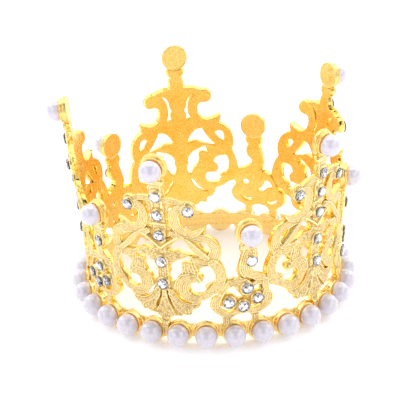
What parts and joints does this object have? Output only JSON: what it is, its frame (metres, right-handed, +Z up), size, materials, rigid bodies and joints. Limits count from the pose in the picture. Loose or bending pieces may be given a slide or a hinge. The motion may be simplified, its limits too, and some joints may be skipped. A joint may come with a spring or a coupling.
{
  "type": "costume crown",
  "caption": "Small round openwork costume crown with tall and short scroll panels in turn, pearl cups around the ring and on the tips, and clear stones in shallow cups.",
  "frame": {"origin": "centre of the ring, on its axis, in the plane of the ring's pearl centres", "axes": "+Z up along the ring's axis, towards the tips; -Y to the front, between a tall and a short panel"},
  "size_m": [0.0873, 0.0862, 0.0583],
  "materials": {
    "antique_gold": "sandblasted and engraved on the front, satin behind, bright on the edges",
    "satin_gold": "satin gold plate",
    "polished_gold": "polished gold plate",
    "pearl": "pearlescent coating",
    "rhinestone": "faceted, foil backed"
  },
  "bodies": {
    "root": {"base_strip": "satin_gold", "seam_solder": "satin_gold", "base_cups_1": "polished_gold", "base_cups_2": "polished_gold", "base_cups_3": "polished_gold", "base_cups_4": "polished_gold", "base_cups_5": "polished_gold", "base_pearls_1": "pearl", "base_pearls_2": "pearl", "base_pearls_3": "pearl", "base_pearls_4": "pearl", "base_pearls_5": "pearl", "tall_panel_1": "antique_gold", "tall_panel_2": "antique_gold", "tall_panel_3": "antique_gold", "tall_panel_4": "antique_gold", "tall_panel_5": "antique_gold", "short_panel_1": "antique_gold", "short_panel_2": "antique_gold", "short_panel_3": "antique_gold", "short_panel_4": "antique_gold", "short_panel_5": "antique_gold", "tall_tip_cup_1": "polished_gold", "tall_tip_cup_2": "polished_gold", "tall_tip_cup_3": "polished_gold", "tall_tip_cup_4": "polished_gold", "tall_tip_cup_5": "polished_gold", "short_tip_cup_1": "polished_gold", "short_tip_cup_2": "polished_gold", "short_tip_cup_3": "polished_gold", "short_tip_cup_4": "polished_gold", "short_tip_cup_5": "polished_gold", "tall_tip_pearls": "pearl", "short_tip_pearls": "pearl", "tall_stone_cups_1": "polished_gold", "tall_stone_cups_2": "polished_gold", "tall_stone_cups_3": "polished_gold", "tall_stone_cups_4": "polished_gold", "tall_stone_cups_5": "polished_gold", "short_stone_cups_1": "polished_gold", "short_stone_cups_2": "polished_gold", "short_stone_cups_3": "polished_gold", "short_stone_cups_4": "polished_gold", "short_stone_cups_5": "polished_gold", "tall_stones_1": "rhinestone", "tall_stones_2": "rhinestone", "tall_stones_3": "rhinestone", "tall_stones_4": "rhinestone", "tall_stones_5": "rhinestone", "short_stones_1": "rhinestone", "short_stones_2": "rhinestone", "short_stones_3": "rhinestone", "short_stones_4": "rhinestone", "short_stones_5": "rhinestone"}
  },
  "joints": []
}
